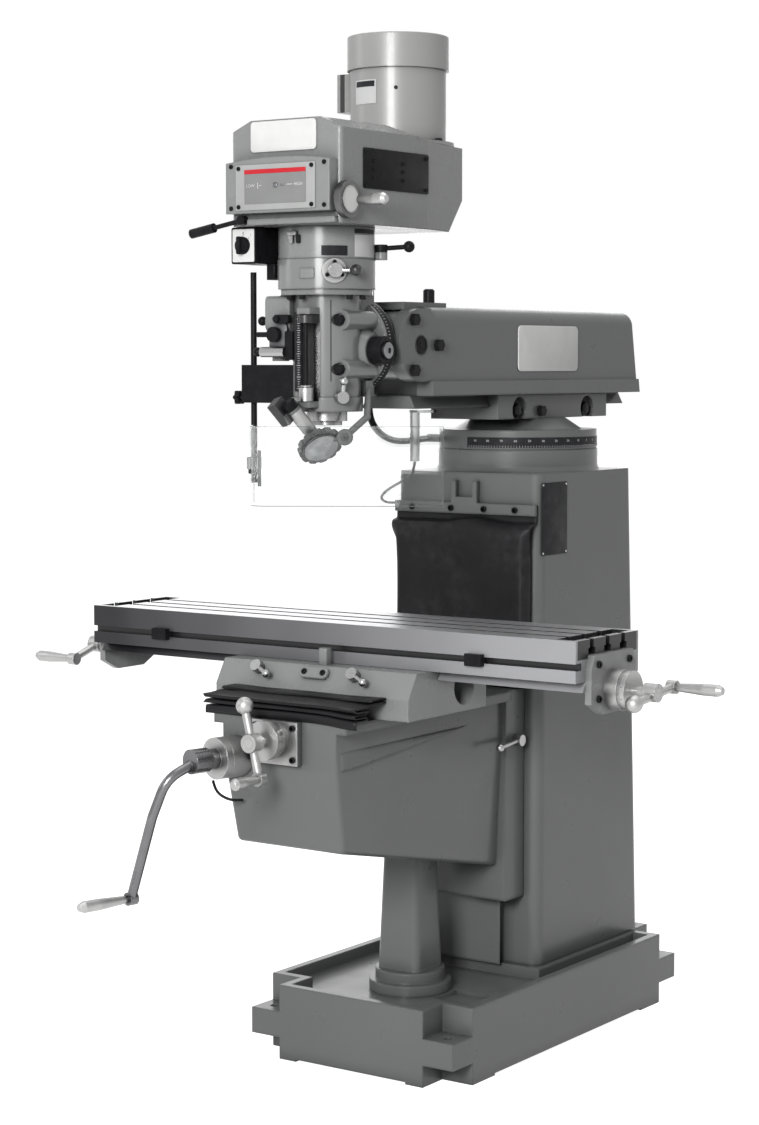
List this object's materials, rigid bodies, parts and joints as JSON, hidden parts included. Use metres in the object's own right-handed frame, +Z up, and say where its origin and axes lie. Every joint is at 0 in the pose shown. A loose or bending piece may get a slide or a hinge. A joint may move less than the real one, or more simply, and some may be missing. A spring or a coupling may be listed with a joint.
{
  "type": "knee and column milling machine",
  "caption": "Vertical knee and column milling machine with swivelling ram head, T-slot table on saddle and knee, cranks and chip guard",
  "frame": {"origin": "on the floor at the centre of the base casting", "axes": "+X right along the table, +Y back toward the column, +Z up"},
  "size_m": [1.704, 1.5935, 2.239],
  "materials": {
    "grey_paint": "satin machine enamel on cast iron",
    "pale_grey_paint": "satin machine enamel on cast iron",
    "silver_paint": "satin silver paint",
    "ground_steel": "ground",
    "bright_steel": "polished, with black balls",
    "black_steel": "black oxide",
    "black_plastic": "matt",
    "black_rubber": "matt",
    "clear_plastic": "clear sheet, gloss",
    "aluminium": "turned"
  },
  "bodies": {
    "root": {"base_casting": "grey_paint", "column": "grey_paint", "elevating_pedestal": "grey_paint", "apron_clamp_bar": "black_steel", "rubber_apron": "black_rubber", "signal_cable": "black_rubber"},
    "turret": {"turret": "grey_paint", "cable_connector": "black_plastic", "motor_conduit": "black_rubber"},
    "ram_pinion": {"ram_pinion": "ground_steel"},
    "ram": {"ram": "grey_paint", "ram_clamp_bolts": "black_steel"},
    "adapter": {"ram_adapter": "grey_paint"},
    "head": {"quill_housing": "pale_grey_paint", "lower_gear_housing": "pale_grey_paint", "upper_gear_housing": "pale_grey_paint", "belt_housing": "pale_grey_paint", "speed_panel": "silver_paint", "motor_frame": "silver_paint", "motor_cap": "silver_paint", "motor_terminal_box": "black_plastic", "switch_box": "black_plastic", "feed_gear_cover": "pale_grey_paint", "head_clamp_bolts": "black_steel", "drive_belt": "black_rubber", "depth_stop_rod": "black_steel", "guard_clamp_block": "black_steel", "work_lamp": "black_steel"},
    "motor_rotor": {"motor_rotor": "ground_steel"},
    "spindle_pulley": {"spindle_pulley": "aluminium"},
    "quill": {"quill": "ground_steel"},
    "spindle": {"spindle": "ground_steel"},
    "depth_stop_nut": {"depth_stop_nut": "ground_steel"},
    "speed_dial": {"speed_dial": "silver_paint"},
    "gear_range_lever": {"gear_range_lever": "bright_steel"},
    "brake_lever": {"brake_lever": "black_steel"},
    "feed_rate_lever": {"feed_rate_lever": "black_steel"},
    "switch_knob": {"switch_knob": "black_plastic"},
    "feed_engage_knob": {"feed_engage_knob": "bright_steel"},
    "quill_feed_hub": {"quill_feed_hub": "black_steel"},
    "quill_lock_lever": {"quill_lock_lever": "bright_steel"},
    "guard_rod": {"guard_rod": "black_steel"},
    "guard_shield": {"guard_shield": "clear_plastic"},
    "knee": {"knee": "grey_paint", "elevating_bracket": "pale_grey_paint", "cross_feed_bracket": "pale_grey_paint", "knee_way_cover": "black_rubber"},
    "knee_lock_lever": {"knee_lock_lever": "bright_steel"},
    "elevating_crank": {"elevating_crank": "black_steel"},
    "elevating_screw": {"elevating_screw": "ground_steel"},
    "cross_feed": {"cross_feed_screw": "ground_steel", "cross_feed_crank": "bright_steel"},
    "saddle": {"saddle": "pale_grey_paint"},
    "table_lock_left": {"table_lock_lever_left": "bright_steel"},
    "table_lock_right": {"table_lock_lever_right": "bright_steel"},
    "table": {"table": "ground_steel", "table_end_brackets": "pale_grey_paint", "table_stops": "ground_steel"},
    "lead_screw": {"lead_screw": "ground_steel", "table_cranks": "bright_steel"}
  },
  "joints": [
    {"name": "turret_swivel", "type": "hinge", "parent": "root", "child": "turret", "pos_m": [0, 0.19, 1.34], "axis": [0, 0, 1], "range_deg": [-90, 90], "deforming": ["signal_cable"]},
    {"name": "ram_slide", "type": "slide", "parent": "turret", "child": "ram", "axis": [0, 1, 0], "range_m": [-0.2, 0.25], "deforming": ["motor_conduit"]},
    {"name": "ram_pinion_turn", "type": "hinge", "parent": "turret", "child": "ram_pinion", "pos_m": [0, 0.14, 1.4284], "axis": [1, 0, 0], "range_deg": [-1268.61, 1015.09]},
    {"name": "head_nod", "type": "hinge", "parent": "ram", "child": "adapter", "pos_m": [0, -0.381, 1.577], "axis": [1, 0, 0], "range_deg": [-40, 45]},
    {"name": "head_tilt", "type": "hinge", "parent": "adapter", "child": "head", "pos_m": [0, -0.48, 1.577], "axis": [0, 1, 0], "range_deg": [-90, 90]},
    {"name": "motor_spin", "type": "hinge", "parent": "head", "child": "motor_rotor", "pos_m": [0, -0.308, 2.05], "axis": [0, 0, 1], "continuous": true},
    {"name": "spindle_pulley_spin", "type": "hinge", "parent": "head", "child": "spindle_pulley", "pos_m": [0, -0.57, 1.8], "axis": [0, 0, 1], "continuous": true},
    {"name": "quill_slide", "type": "slide", "parent": "head", "child": "quill", "axis": [0, 0, -1], "range_m": [0, 0.127]},
    {"name": "spindle_spin", "type": "hinge", "parent": "quill", "child": "spindle", "pos_m": [0, -0.57, 1.5], "axis": [0, 0, 1], "continuous": true},
    {"name": "quill_feed_turn", "type": "hinge", "parent": "head", "child": "quill_feed_hub", "pos_m": [0, -0.5127, 1.565], "axis": [1, 0, 0], "range_deg": [-1, 515.25]},
    {"name": "depth_stop_nut_slide", "type": "slide", "parent": "head", "child": "depth_stop_nut", "axis": [0, 0, -1], "range_m": [-0.12, 0]},
    {"name": "speed_dial_turn", "type": "hinge", "parent": "head", "child": "speed_dial", "pos_m": [0.14, -0.7, 1.867], "axis": [1, 0, 0], "range_deg": [-150, 150]},
    {"name": "gear_range_turn", "type": "hinge", "parent": "head", "child": "gear_range_lever", "pos_m": [0.07283, -0.64283, 1.7282], "axis": [0.7071, -0.7071, 0], "range_deg": [-40, 40]},
    {"name": "brake_turn", "type": "hinge", "parent": "head", "child": "brake_lever", "pos_m": [0.09338, -0.50461, 1.769], "axis": [0, 0, 1], "range_deg": [-25, 25]},
    {"name": "feed_rate_turn", "type": "hinge", "parent": "head", "child": "feed_rate_lever", "pos_m": [-0.105, -0.712, 1.832], "axis": [0, -1, 0], "range_deg": [-20, 20]},
    {"name": "switch_turn", "type": "hinge", "parent": "head", "child": "switch_knob", "pos_m": [-0.126, -0.69, 1.782], "axis": [0, -1, 0], "range_deg": [-60, 60]},
    {"name": "feed_engage_slide", "type": "slide", "parent": "head", "child": "feed_engage_knob", "axis": [-1, 0, 0], "range_m": [0, 0.012]},
    {"name": "quill_lock_turn", "type": "hinge", "parent": "head", "child": "quill_lock_lever", "pos_m": [0.06374, -0.61139, 1.468], "axis": [0.8387, -0.5446, 0], "range_deg": [-60, 60]},
    {"name": "guard_rod_slide", "type": "slide", "parent": "head", "child": "guard_rod", "axis": [0, 0, 1], "range_m": [-0.12, 0.04]},
    {"name": "guard_swing", "type": "hinge", "parent": "guard_rod", "child": "guard_shield", "pos_m": [-0.165, -0.607, 1.32], "axis": [0, 0, 1], "range_deg": [-100, 0]},
    {"name": "knee_slide", "type": "slide", "parent": "root", "child": "knee", "axis": [0, 0, 1], "range_m": [-0.155, 0.25], "deforming": ["rubber_apron"]},
    {"name": "knee_lock_turn", "type": "hinge", "parent": "knee", "child": "knee_lock_lever", "pos_m": [0.158, -0.0703, 0.692], "axis": [1, 0, 0], "range_deg": [-45, 30]},
    {"name": "elevating_crank_turn", "type": "hinge", "parent": "knee", "child": "elevating_crank", "pos_m": [0, -0.258, 0.72], "axis": [-0.2244, -0.9745, 0], "range_deg": [-35434.07, 21969.5]},
    {"name": "elevating_screw_turn", "type": "hinge", "parent": "knee", "child": "elevating_screw", "pos_m": [0, -0.258, 0.6], "axis": [0, 0, 1], "range_deg": [-17717.53, 10985.25]},
    {"name": "saddle_slide", "type": "slide", "parent": "knee", "child": "saddle", "axis": [0, 1, 0], "range_m": [-0.062, 0.22], "deforming": ["knee_way_cover"]},
    {"name": "cross_feed_turn", "type": "hinge", "parent": "knee", "child": "cross_feed", "pos_m": [0, -0.74, 0.768], "axis": [0, -1, 0], "range_deg": [-15591.55, 4394.7]},
    {"name": "table_lock_left_turn", "type": "hinge", "parent": "saddle", "child": "table_lock_left", "pos_m": [-0.148, -0.61165, 0.8877], "axis": [0, -0.8563, 0.5165], "range_deg": [-45, 45]},
    {"name": "table_lock_right_turn", "type": "hinge", "parent": "saddle", "child": "table_lock_right", "pos_m": [0.103, -0.61165, 0.8877], "axis": [0, -0.8563, 0.5165], "range_deg": [-45, 45]},
    {"name": "table_slide", "type": "slide", "parent": "saddle", "child": "table", "axis": [1, 0, 0], "range_m": [-0.305, 0.413]},
    {"name": "lead_screw_turn", "type": "hinge", "parent": "table", "child": "lead_screw", "pos_m": [0, -0.425, 0.8813], "axis": [1, 0, 0], "range_deg": [-29268.72, 21615.17]}
  ],
  "couplings": [
    {"joint": "ram_pinion_turn", "follows": "ram_slide", "rad_per_m": -88.496},
    {"joint": "spindle_pulley_spin", "follows": "motor_spin", "ratio": 1},
    {"joint": "spindle_spin", "follows": "motor_spin", "ratio": 1},
    {"joint": "quill_feed_turn", "follows": "quill_slide", "rad_per_m": 70.671},
    {"joint": "elevating_crank_turn", "follows": "knee_slide", "rad_per_m": -2473.7},
    {"joint": "elevating_screw_turn", "follows": "knee_slide", "rad_per_m": -1236.8},
    {"joint": "cross_feed_turn", "follows": "saddle_slide", "rad_per_m": -1236.8},
    {"joint": "lead_screw_turn", "follows": "table_slide", "rad_per_m": -1236.8}
  ]
}
